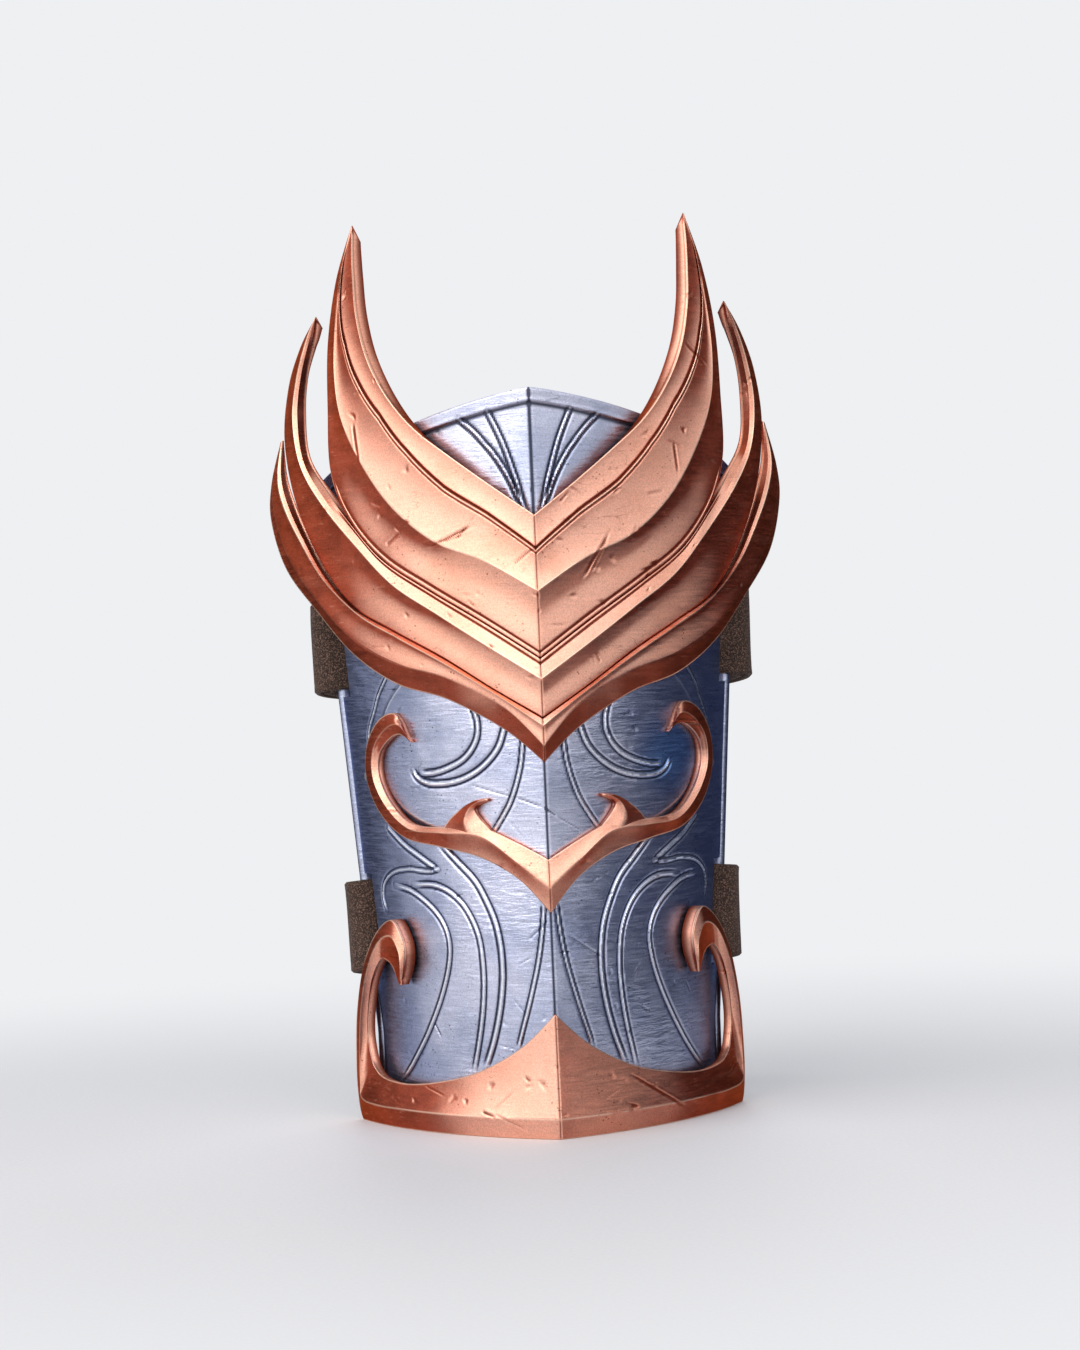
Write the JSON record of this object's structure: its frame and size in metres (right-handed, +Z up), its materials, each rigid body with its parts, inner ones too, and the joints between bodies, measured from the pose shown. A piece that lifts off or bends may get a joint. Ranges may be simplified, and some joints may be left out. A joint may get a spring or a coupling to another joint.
{
  "type": "forearm guard",
  "caption": "Armour guard for the forearm: keeled steel plate with winged copper crest, scroll trim and hooked cuff, held by leather straps with press studs.",
  "frame": {"origin": "middle of the bounding box at the foot of the wrist cuff, on the ground", "axes": "+Z up from the wrist end to the elbow end, -Y towards the ridge at the front, +X to the viewer's right when the ridge is seen"},
  "size_m": [0.149, 0.1029, 0.2515],
  "materials": {
    "blued_steel": "brushed, blued, engraved and worn",
    "copper": "brushed copper with worn edges",
    "strap_leather": "matt dark brown",
    "snap_brass": "plain brass",
    "fastener_steel": "plain steel"
  },
  "bodies": {
    "arm_plate": {"shell": "blued_steel", "crest_upper": "copper", "crest_middle": "copper", "crest_lower": "copper", "crest_screws": "fastener_steel", "crest_washers": "fastener_steel", "scroll_trim": "copper", "scroll_screws": "fastener_steel", "scroll_washers": "fastener_steel", "cuff_band": "copper", "cuff_screws": "fastener_steel", "cuff_washers": "fastener_steel"},
    "upper_strap": {"upper_strap": "strap_leather", "upper_strap_rivets": "copper", "upper_snap_cap": "copper", "upper_snap_socket": "snap_brass"},
    "lower_strap": {"lower_strap": "strap_leather", "lower_strap_rivets": "copper", "lower_snap_cap": "copper", "lower_snap_socket": "snap_brass"},
    "upper_tab": {"upper_tab": "strap_leather", "upper_tab_rivets": "copper", "upper_snap_stud": "snap_brass", "upper_snap_post": "snap_brass"},
    "lower_tab": {"lower_tab": "strap_leather", "lower_tab_rivets": "copper", "lower_snap_stud": "snap_brass", "lower_snap_post": "snap_brass"}
  },
  "joints": [
    {"name": "upper_strap_swing", "type": "hinge", "parent": "arm_plate", "child": "upper_strap", "pos_m": [0.05588, 0.0207, 0.1355], "axis": [0.0785, 0.0919, 0.9927], "range_deg": [-90, 0]},
    {"name": "lower_strap_swing", "type": "hinge", "parent": "arm_plate", "child": "lower_strap", "pos_m": [0.04952, 0.01325, 0.055], "axis": [0.0785, 0.0919, 0.9927], "range_deg": [-50, 0]},
    {"name": "upper_tab_swing", "type": "hinge", "parent": "arm_plate", "child": "upper_tab", "pos_m": [-0.05588, 0.0207, 0.1355], "axis": [-0.0785, 0.0919, 0.9927], "range_deg": [-75, 0]},
    {"name": "lower_tab_swing", "type": "hinge", "parent": "arm_plate", "child": "lower_tab", "pos_m": [-0.04952, 0.01325, 0.055], "axis": [-0.0785, 0.0919, 0.9927], "range_deg": [-75, 0]}
  ]
}
